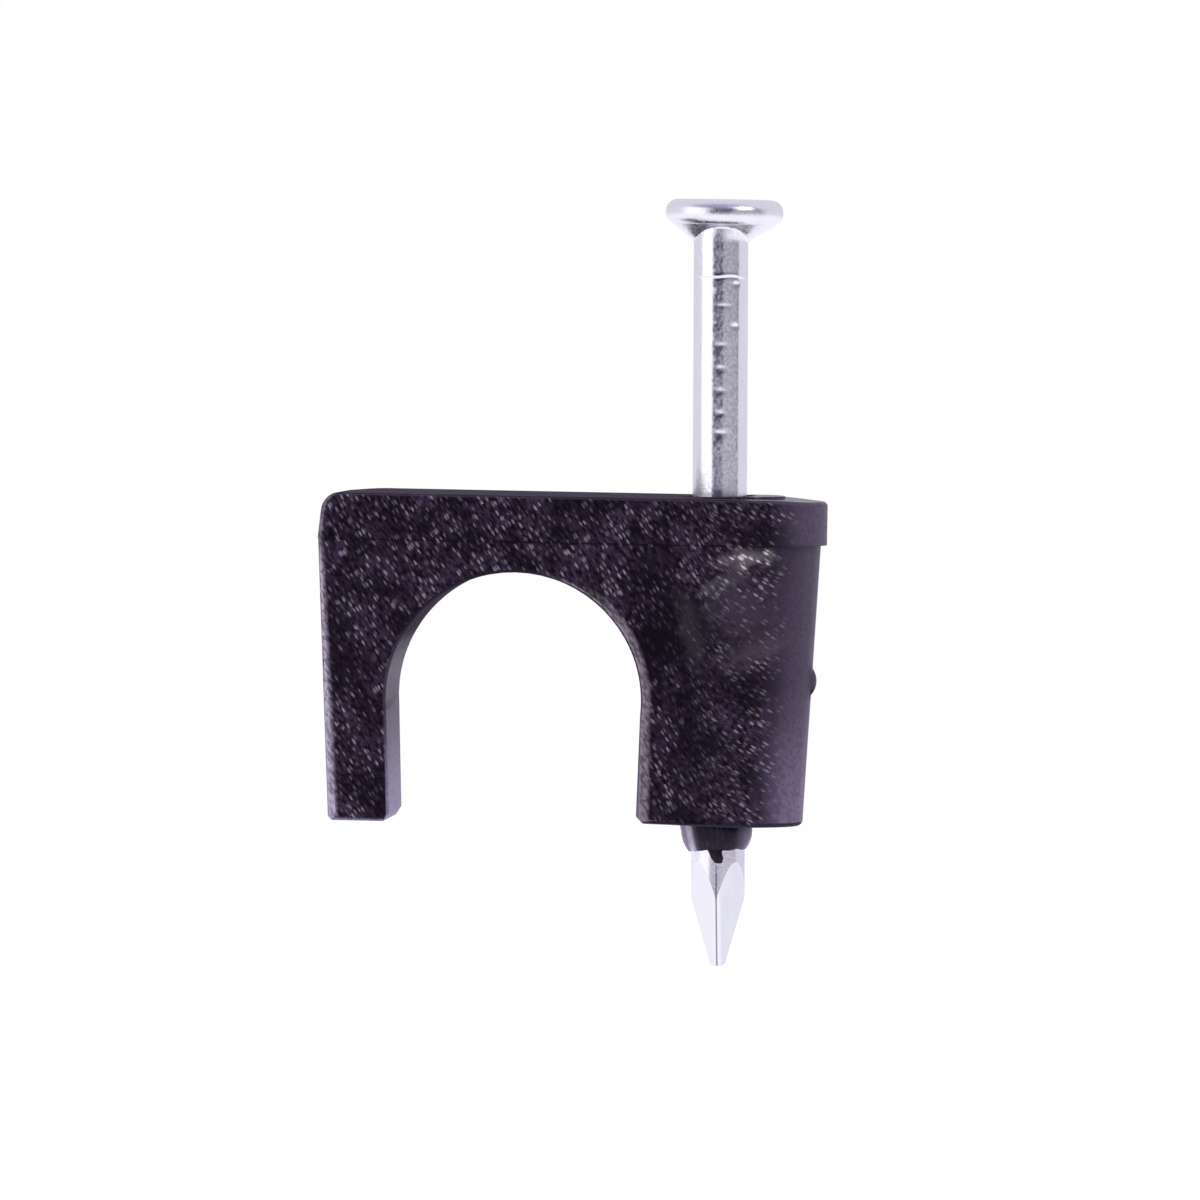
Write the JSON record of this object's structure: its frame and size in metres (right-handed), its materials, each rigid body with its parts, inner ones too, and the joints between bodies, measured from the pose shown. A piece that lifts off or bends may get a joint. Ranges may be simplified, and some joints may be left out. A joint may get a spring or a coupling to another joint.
{
  "type": "nail-in cable clip",
  "caption": "Moulded clip that bridges a round cable and is fixed to a wall by a plated steel nail through its boss.",
  "frame": {"origin": "On the nail's axis, in the plane of the wall that the clip's foot rests on.", "axes": "+Z points out of the wall to the nail's head, +X from the leg to the boss, +Y to the back of the clip."},
  "size_m": [0.0148, 0.0064, 0.0226],
  "materials": {
    "black_plastic": "satin with a fine spark-eroded mould texture",
    "zinc_plate": "bright zinc plate on drawn wire"
  },
  "bodies": {
    "clip": {"clip_body": "black_plastic"},
    "nail": {"nail": "zinc_plate"}
  },
  "joints": [
    {"name": "nail_drive", "type": "slide", "parent": "clip", "child": "nail", "axis": [0, 0, -1], "range_m": [0, 0.0076]}
  ]
}
